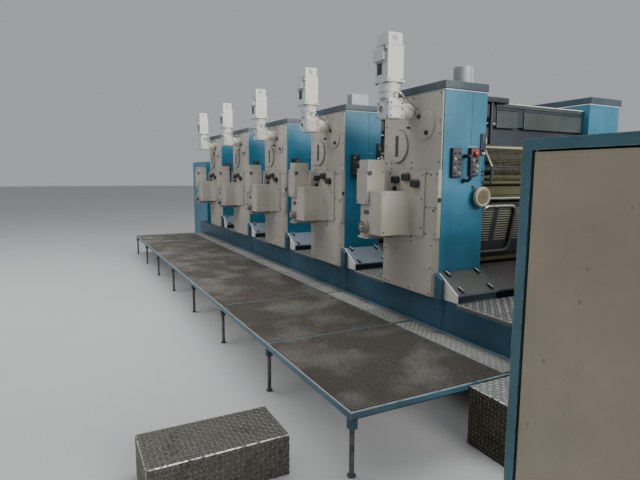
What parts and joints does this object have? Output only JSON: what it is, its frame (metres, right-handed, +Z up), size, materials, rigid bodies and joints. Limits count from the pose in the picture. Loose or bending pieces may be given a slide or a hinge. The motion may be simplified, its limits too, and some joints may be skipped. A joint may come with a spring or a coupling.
{
  "type": "offset printing press",
  "caption": "Sheet-fed offset printing press line: tall printing units with drive gearmotors on a long plinth, feeder, delivery, side walkways and a control cabinet.",
  "frame": {"origin": "centre of the press's overall box, on the floor", "axes": "+X along the line from the feeder to the delivery, -Y the drive side with the gearmotors and the control cabinet, +Z up"},
  "size_m": [11.29, 6.45, 2.545],
  "materials": {
    "press_blue": "satin",
    "plinth_blue": "satin",
    "panel_beige": "satin",
    "motor_cream": "satin",
    "cap_slate": "satin",
    "cover_grey": "satin",
    "guard_olive": "satin",
    "guard_dark": "satin",
    "black_plastic": "matt",
    "cream_plastic": "satin",
    "tread_plate": "rolled chequer pattern",
    "grating_steel": "dull",
    "zinc_steel": "galvanised",
    "cabinet_beige": "satin",
    "pile_wood": "raw"
  },
  "bodies": {
    "press": {"unit_1_frame": "press_blue", "unit_1_side_cover": "panel_beige", "unit_1_roller_housing": "panel_beige", "unit_1_gearmotor": "motor_cream", "unit_2_frame": "press_blue", "unit_2_side_cover": "panel_beige", "unit_2_roller_housing": "panel_beige", "unit_2_gearmotor": "motor_cream", "unit_3_frame": "press_blue", "unit_3_side_cover": "panel_beige", "unit_3_roller_housing": "panel_beige", "unit_3_gearmotor": "motor_cream", "unit_4_frame": "press_blue", "unit_4_side_cover": "panel_beige", "unit_4_roller_housing": "panel_beige", "unit_4_gearmotor": "motor_cream", "unit_5_frame": "press_blue", "unit_5_side_cover": "panel_beige", "unit_5_roller_housing": "panel_beige", "unit_5_gearmotor": "motor_cream", "register_gearboxes": "panel_beige", "caps": "cap_slate", "operator_housings": "press_blue", "operator_covers": "panel_beige", "inner_housings": "plinth_blue", "cross_beams": "plinth_blue", "mesh_guards": "guard_olive", "guard_bars": "guard_olive", "lower_guards": "guard_dark", "plinths": "plinth_blue", "press_bed": "plinth_blue", "treads": "tread_plate", "bay_covers": "cover_grey", "bay_end_walls": "motor_cream", "floor_covers": "guard_dark", "control_strips": "black_plastic", "button_panel": "black_plastic", "grab_handle": "black_plastic", "cap_boxes": "zinc_steel", "walkway_frame": "press_blue", "walkway_grating": "grating_steel", "walkway_plates": "tread_plate", "walkway_legs": "black_plastic", "end_steps": "tread_plate", "step_boxes": "tread_plate", "cabinet_body": "press_blue", "cabinet_plate": "zinc_steel", "delivery_frames": "press_blue", "delivery_hood": "panel_beige", "delivery_pile_board": "pile_wood", "feeder_frames": "press_blue", "feed_table": "zinc_steel", "feeder_head": "panel_beige", "feeder_pile_board": "pile_wood"},
    "door": {"cabinet_door": "cabinet_beige"},
    "wheel": {"handwheel": "cream_plastic"},
    "guard": {"near_lower_guard": "guard_dark"}
  },
  "joints": [
    {"name": "cabinet_door_hinge", "type": "hinge", "parent": "press", "child": "door", "pos_m": [4.5915, -2.28, 0.85], "axis": [0, 0, -1], "range_deg": [0, 95]},
    {"name": "handwheel_turn", "type": "hinge", "parent": "press", "child": "wheel", "pos_m": [2.745, -0.658, 1.338], "axis": [1, 0, 0], "continuous": true},
    {"name": "lower_guard_lift", "type": "hinge", "parent": "press", "child": "guard", "pos_m": [2.698, 0, 1.28], "axis": [0, -1, 0], "range_deg": [0, 75]}
  ]
}
